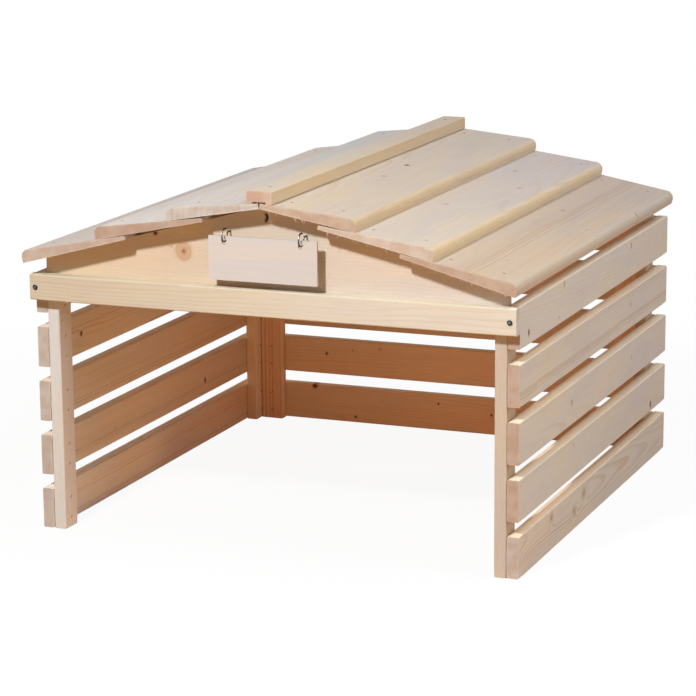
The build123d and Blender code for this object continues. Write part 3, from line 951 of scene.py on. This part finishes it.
# %% Metal finishes
# painted reflection: the base colour is painted dark on the sides that look away from way
PaintedGleam = namedtuple("PaintedGleam", "way start end")
PAINTED_REFLECTION_DARK = (0.02, 0.02, 0.02)


def steel(name, dull, bright, polished, dry, grain, painted_gleam=None):
    """Plated steel: a mottle between two greys, and roughness that follows it.

    Sides that look away from the chosen way are painted dark: a painted reflection of a dark room.
    """
    material, wire, shader = new_finish(name)
    spot = wire.node("ShaderNodeTexCoord", output="Object")
    mottle = noise(spot, grain, 3.0).ease(0.3, 0.7)
    relief = bump(mottle, 0.15, 0.0001)
    colour = mottle.paint(dull, bright)
    if painted_gleam:
        facing = {0: wire.node("ShaderNodeTexCoord", output="Normal"), 1: painted_gleam.way}
        facing = wire.node("ShaderNodeVectorMath", {"operation": "DOT_PRODUCT"}, facing, "Value")
        colour = facing.ease(painted_gleam.start, painted_gleam.end).paint(PAINTED_REFLECTION_DARK, colour)
    feed(wire, shader, Base_Color=colour, Roughness=mottle * (dry - polished) + polished, Normal=relief)
    feed(wire, shader, Metallic=1.0)
    return material


# partly painted shade: the near-black wire also stands for the dark slot round each crown
STAPLE_STEEL = steel("galvanised_wire", (0.025, 0.022, 0.02), (0.08, 0.075, 0.07), 0.4, 0.7, 900.0)
# painted highlight: the middle of each screw head is left bright and its rim is painted dark
PAINTED_GLINT_FRONT = PaintedGleam((0, -1, 0), 0.93, 0.99)  # the middle of a head that looks to the front
SCREW_STEEL = steel("dark_coated_steel", (0.16, 0.18, 0.19), (0.50, 0.53, 0.55), 0.3, 0.5, 700.0, PAINTED_GLINT_FRONT)
# painted highlight: hook sides facing the key lamp stay bright, the rest is painted dark as a painted
# reflection
PAINTED_GLINT_LAMPWARD = PaintedGleam((-0.45, -0.6, 0.66), 0.45, 0.7)  # the way to the key lamp, up and to the left
HOOK_STEEL = steel("bright_zinc", (0.10, 0.09, 0.08), (0.85, 0.85, 0.83), 0.15, 0.3, 240.0, PAINTED_GLINT_LAMPWARD)
print("steels:", STAPLE_STEEL.name, SCREW_STEEL.name, HOOK_STEEL.name)

# %% [markdown]
# ## Staples
# A staple gun drives them through the posts into the slats, two to a slat and all slanted, so
# that neither leg splits the grain it shares with the other. Only the crown shows, a hair proud
# of the wood, and its shoulders bend down into it. The tree bends one short wire and sets it on
# every point.

# %% Bend and drive the staples
STAPLE_CROWN = 0.007
STAPLE_WIRE = 0.0012
STAPLE_PROUD = 0.0004
SHOULDER = 0.7  # share of half the crown at which it starts to bend down
SHOULDER_DROP = 1.4  # in thicknesses of the wire

staple_tree, wire, size = new_tree("staples", {
    "Points": "Geometry", "Crown": "Float", "Wire": "Float", "Proud": "Float", "Finish": "Material"})
crown, station = straight_line(wire, 9)
drop = abs(station).ease(SHOULDER, 1.0) * size["Wire"] * SHOULDER_DROP
along = station * (size["Crown"] - size["Wire"]) * 0.5
bent = wire.join(along, 0.0, size["Proud"] - size["Wire"] * 0.5 - drop)
crown = round_wire(wire, set_place(wire, crown, bent), size["Wire"], 8)
end_tree(wire, set_on_points(wire, size["Points"], crown), size["Finish"])


def staple_seats(node):
    """Where each staple of a group lies on the wood, its way out and the line of its crown."""
    kind, side = node.split("_")[0], node.split("_")[-1]
    inward = Vector(({"left": 1, "right": -1}.get(side, 0), 0, 0))
    guess = {"side": inward, "back": -AXIS["Y"]}.get(kind, AXIS["Z"])
    seats = []
    for part in loose_parts(node):
        ranked = sorted(part, key=lambda corner: corner.dot(guess))
        top = mean(ranked[-4:])
        out = (top - mean(ranked[:8])).normalized()
        line = CROWN_LINES.get(kind) or AXIS["Y"].cross(out)
        seats.append((top - out * STAPLE_PROUD, out, line))
    return seats


driven = 0
for node in sorted(name for name in solids if "staples" in name):
    seats = seat_points(node + "_seats", staple_seats(node))
    driven += len(seats.vertices)
    bent = grow(node + "_bent", staple_tree, {
        "Crown": STAPLE_CROWN, "Wire": STAPLE_WIRE, "Proud": STAPLE_PROUD, "Finish": STAPLE_STEEL}, seats)
    settle(bent, "staple_wire", node)
print("staples:", driven)

# %% [markdown]
# ## Screws
# Pan-head screws with a cross recess hold the beam, the gables and the back wall. The head is a
# low dome lathed from a cylinder: each ring of its top drops with the square of its distance
# from the middle. Two crossed bars cut the recess with a Boolean, once, before the head is
# copied. Every cross is turned its own way, as screws stop where they are tight.

# %% Turn and drive the screws
HEAD_HEIGHT = 0.0024
HEAD_RADIUS = 0.0036
DOME_DROP = 0.45  # share of the height lost at the rim
RECESS_LENGTH, RECESS_WIDTH = 1.15, 0.26  # in radii of the head
RECESS_DEPTH = 1.2  # in heights of the head, half of it above the dome
SCREW_WAYS = {"beam_screws": -AXIS["Y"]}  # all others are driven from behind

screw_tree, wire, size = new_tree("pan_head_screws", {
    "Points": "Geometry", "Radius": "Float", "Height": "Float", "Finish": "Material"})
head = {"Vertices": 24, "Side Segments": 1, "Fill Segments": 4, "Radius": size["Radius"], "Depth": 2.0}
head = wire.node("GeometryNodeMeshCylinder", None, head)
here = wire.node("GeometryNodeInputPosition").split()
rim = (here.out("X") ** 2.0 + here.out("Y") ** 2.0) / (size["Radius"] * size["Radius"])
dome = here.out("Z").math("GREATER_THAN", 0.0) * size["Height"] * (1.0 - rim * DOME_DROP)
head = set_place(wire, head, wire.join(here.out("X"), here.out("Y"), dome))
recess = wire.join(size["Radius"] * RECESS_LENGTH, size["Radius"] * RECESS_WIDTH,
                   size["Height"] * RECESS_DEPTH)
recess = wire.node("GeometryNodeMeshCube", None, {"Size": recess})
lifted = wire.join(z=size["Height"])
cuts = []
for turn in (0.0, pi / 2):
    cut = {"Geometry": recess, "Translation": lifted, "Rotation": (0, 0, turn)}
    cuts.append(wire.node("GeometryNodeTransform", None, cut))
cross = {"Mesh 1": head, "Mesh 2": cuts[0]}
cross = wire.node("GeometryNodeMeshBoolean", {"operation": "DIFFERENCE"}, cross)
wire.plug(cross.socket.node.inputs["Mesh 2"], cuts[1])
end_tree(wire, set_on_points(wire, size["Points"], cross), size["Finish"])


def screw_seats(node, draw):
    """Where each screw's head lies on the wood, its way out and the turn of its recess."""
    out = SCREW_WAYS.get(node, AXIS["Y"])
    seats = []
    for part in loose_parts(node):
        middle = mean(part)
        top = max(corner.dot(out) for corner in part)
        face = middle + out * (top - HEAD_HEIGHT - middle.dot(out))
        angle = draw.uniform(0, pi)
        seats.append((face, out, Vector((cos(angle), 0, sin(angle)))))
    return seats


draw = Random(11)
for node in sorted(name for name in solids if name.endswith("screws")):
    seats = seat_points(node + "_seats", screw_seats(node, draw))
    turned = grow(node + "_turned", screw_tree, {
        "Radius": HEAD_RADIUS, "Height": HEAD_HEIGHT, "Finish": SCREW_STEEL}, seats)
    settle(turned, "screw_steel", node)
    print(node, len(turned.data.polygons), "faces")

# %% [markdown]
# ## Screw hooks
# Two bright wire hooks carry the name board. Each leaves the gable level, drops round in front
# through the board's hole and curls back over the top to a blunt tip. The line of the wire is
# laid out with sines and cosines; the tree turns it into a curve and sweeps a round wire along
# it, and a width on every point rounds off the tip.

# %% Bend the hooks
HOOK_RADIUS = 0.009
HOOK_BEND = 0.0024
HOOK_WIRE = 0.0022
HOOK_STANDOFF = 0.034  # from the plane of the name board to the end of the shank
HOOK_SWEEP = 295  # degrees of ring before the tip
TIP_STOPS = [296.5, 298, 299, 299.8]  # degrees
TIP_WIDTHS = [1.0, 0.96, 0.82, 0.55, 0.2]  # shares of the wire

wire_tree, wire, size = new_tree("bent_wire", {"Line": "Geometry", "Wire": "Float", "Finish": "Material"})
line = wire.node("GeometryNodeMeshToCurve", None, {"Mesh": size["Line"]})
width = wire.node("GeometryNodeInputNamedAttribute", {"data_type": "FLOAT"}, {"Name": "width"})
line = wire.node("GeometryNodeSetCurveRadius", None, {"Curve": line, "Radius": width})
end_tree(wire, round_wire(wire, line, size["Wire"], 14), size["Finish"])


def hook_line():
    """Points of the wire, back and up from the middle of its ring."""
    points = [(HOOK_STANDOFF, HOOK_BEND)]
    for step in range(7):
        angle = pi / 2 + pi / 2 * step / 6
        points.append((HOOK_RADIUS + HOOK_BEND + HOOK_BEND * cos(angle), HOOK_BEND * sin(angle)))
    stops = [HOOK_SWEEP * step / 48 for step in range(1, 49)] + TIP_STOPS
    for angle in (radians(-stop) for stop in stops):
        points.append((HOOK_RADIUS * cos(angle), HOOK_RADIUS * sin(angle)))
    return points


def hook_mesh(name, node):
    """The wire's line at the place of its solid, as a chain of edges with a width on each point."""
    low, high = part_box(node)
    across = (low.x + high.x) / 2
    back = high.y - HOOK_STANDOFF
    up = low.z + HOOK_RADIUS + HOOK_WIRE / 2
    points = hook_line()
    mesh = bpy.data.meshes.new(name)
    links = [(i, i + 1) for i in range(len(points) - 1)]
    mesh.from_pydata([(across, back + y, up + z) for y, z in points], links, [])
    widths = [1.0] * (len(points) - len(TIP_WIDTHS)) + TIP_WIDTHS
    mesh.attributes.new("width", "FLOAT", "POINT").data.foreach_set("value", widths)
    return mesh


for node in ("screw_hook_left", "screw_hook_right"):
    path = hook_mesh(node + "_line", node)
    hook = grow(node + "_bent", wire_tree, {"Wire": HOOK_WIRE, "Finish": HOOK_STEEL}, path)
    settle(hook, "hook_steel", node)
    print(node, len(hook.data.polygons), "faces")

# %% [markdown]
# ## The name board
# A blank offcut of three-layer ply, sanded so pale that the level fibre of its face veneer hardly
# shows; its edges show the middle layer end on, darker between two thin glue lines.
# The solid keeps its shape; only the finish is new.

# %% Dress the name board
VENEER = (0.70, 0.695, 0.69)
CORE = (0.55, 0.42, 0.32)
GLUE = (0.30, 0.20, 0.14)
VENEER_FIBRE = Streaks(18, 420, 3.0, 0.0)
VENEER_BANDS = Streaks(3, 45, 2.0, 8.0)


def ply(name, place, seed):
    material, wire, shader = new_finish(name)
    board = board_space(wire, place, seed)
    facing = wire.node("ShaderNodeTexCoord", output="Normal").split()
    edge = abs(facing.out(place.axes[2])).ease(0.8, 0.5)
    fibre = streaks(board, VENEER_FIBRE)
    bands = streaks(board, VENEER_BANDS).ease(0.35, 0.65)
    face = bands.paint(shade(VENEER, (1.03, 1.0, 0.96)), shade(VENEER, (0.97, 0.975, 0.99)))
    face = face.glaze(fibre.ease(0.45, 0.75) * 0.25, (0.90, 0.85, 0.80))
    layer = abs(board.through) / place.size[2]
    sides = layer.ease(0.19, 0.15).paint(shade(VENEER, (1.08, 1.04, 1.0)), CORE)
    sides = sides.glaze(layer.ease(0.13, 0.16) * layer.ease(0.21, 0.18) * 0.7, GLUE)
    sides = sides.tint(fibre.paint((0.92, 0.9, 0.88), (1.06, 1.06, 1.06)))
    relief = bump(fibre, 0.25, 0.0002)
    feed(wire, shader, Base_Color=edge.paint(face, sides), Roughness=fibre * 0.2 + 0.5, Normal=relief)
    feed(wire, shader, Specular_IOR_Level=0.25)
    return material


dress("name_board", ply("ply_name_board", square_place("name_board", "XZY"), 5.0))
print("name board:", [round(v * 1000) for v in square_place("name_board", "XZY").size], "mm")

# %% [markdown]
# ## Torn fibres
# The roof boards were cut to length with a rough saw, and a few loose fibres hang from the lower
# corners of the right-hand ones. They are a few tenths of a millimetre thick, too fine for a
# texture to break the outline, so the tree scatters slim three-sided splinters along each cut
# edge, hanging down at odd angles. The seed fixes the scatter.

# %% Fray the cut edges of the roof
FIBRES_PER_METRE = 140
FIBRE_LENGTH = 0.009
FIBRE_WIDTH = 0.0006
INSET = 0.0009  # behind the plane of the cut, so that nothing stands proud of it
CLEAN_CORNER = 0.07  # share of a cut edge at each corner that has no fibres
SCATTER = {0: (-0.004, -0.0001, -0.0002), 1: (0.004, 0.0001, 0.0004)}  # metres off the edge
LEAN = {0: (pi - 0.08, -0.7, 0.0), 1: (pi + 0.08, 0.7, 0.0)}  # radians; pi hangs straight down
STRETCH = {2: 0.15, 3: 1.0}  # squared, so that most are short

fray_tree, wire, size = new_tree("saw_fibres", {
    "Edges": "Geometry", "Spacing": "Float", "Length": "Float", "Width": "Float", "Seed": "Int",
    "Finish": "Material"})
line = wire.node("GeometryNodeMeshToCurve", None, {"Mesh": size["Edges"]})
spread = {"Curve": line, "Length": size["Spacing"]}
points = wire.node("GeometryNodeCurveToPoints", {"mode": "LENGTH"}, spread)
jitter = {**SCATTER, "Seed": size["Seed"]}
jitter = wire.node("FunctionNodeRandomValue", {"data_type": "FLOAT_VECTOR"}, jitter)
splinter = {"Vertices": 3, "Radius Top": 0.0, "Radius Bottom": size["Width"], "Depth": size["Length"]}
splinter = wire.node("GeometryNodeMeshCone", None, splinter)
lean = {**LEAN, "Seed": size["Seed"] + 1.0}
lean = wire.node("FunctionNodeRandomValue", {"data_type": "FLOAT_VECTOR"}, lean)
stretch = {**STRETCH, "Seed": size["Seed"] + 2.0}
stretch = wire.node("FunctionNodeRandomValue", {"data_type": "FLOAT"}, stretch, 1)
stretch = wire.join(1.0, 1.0, stretch * stretch)
points = wire.node("GeometryNodeSetPosition", None, {"Geometry": points, "Offset": jitter})
hung = {"Points": points, "Instance": splinter, "Rotation": lean, "Scale": stretch}
end_tree(wire, wire.node("GeometryNodeInstanceOnPoints", None, hung), size["Finish"])


def cut_edges(node):
    """The front and rear end of a roof board's underside, drawn in a little from the cut."""
    mesh = solids[node].data
    down = broad_face(node, -1).normal
    under = [face for face in mesh.polygons if face.normal.dot(down) > 0.999]
    corners = [mesh.vertices[i].co for face in under for i in face.vertices]
    edges = []
    for way in (-1, 1):
        end = sorted((corner for corner in corners if corner.y * way > 0), key=lambda corner: corner.x)
        step = Vector((0, -way * INSET, 0))
        first, last = end[0].lerp(end[-1], CLEAN_CORNER), end[-1].lerp(end[0], CLEAN_CORNER)
        edges.append((first + step, last + step))
    return edges


def fibre_finish():
    material, wire, shader = new_finish("torn_fibre")
    spot = wire.node("ShaderNodeTexCoord", output="Object")
    mottle = noise(spot, 400.0, 1.0)
    colour = mottle.ease(0.35, 0.65).paint((0.72, 0.60, 0.48), (0.92, 0.85, 0.76))
    feed(wire, shader, Base_Color=colour, Roughness=mottle * 0.2 + 0.7, Specular_IOR_Level=0.2)
    return material


edges = [edge for node in roof_boards if "right" in node for edge in cut_edges(node)]
cuts_mesh = bpy.data.meshes.new("roof_cuts")
links = [(2 * i, 2 * i + 1) for i in range(len(edges))]
cuts_mesh.from_pydata([point for edge in edges for point in edge], links, [])
fibres = grow("roof_saw_fibres", fray_tree, {
    "Spacing": 1 / FIBRES_PER_METRE, "Length": FIBRE_LENGTH, "Width": FIBRE_WIDTH, "Seed": 20,
    "Finish": fibre_finish()}, cuts_mesh)
settle(fibres, "roof_timber")
print("fibres:", len(fibres.data.polygons) // 4)

# %% [markdown] The finer pieces must stay within the box of the solids, or the shelter would no
# longer fit where the frame says it fits.
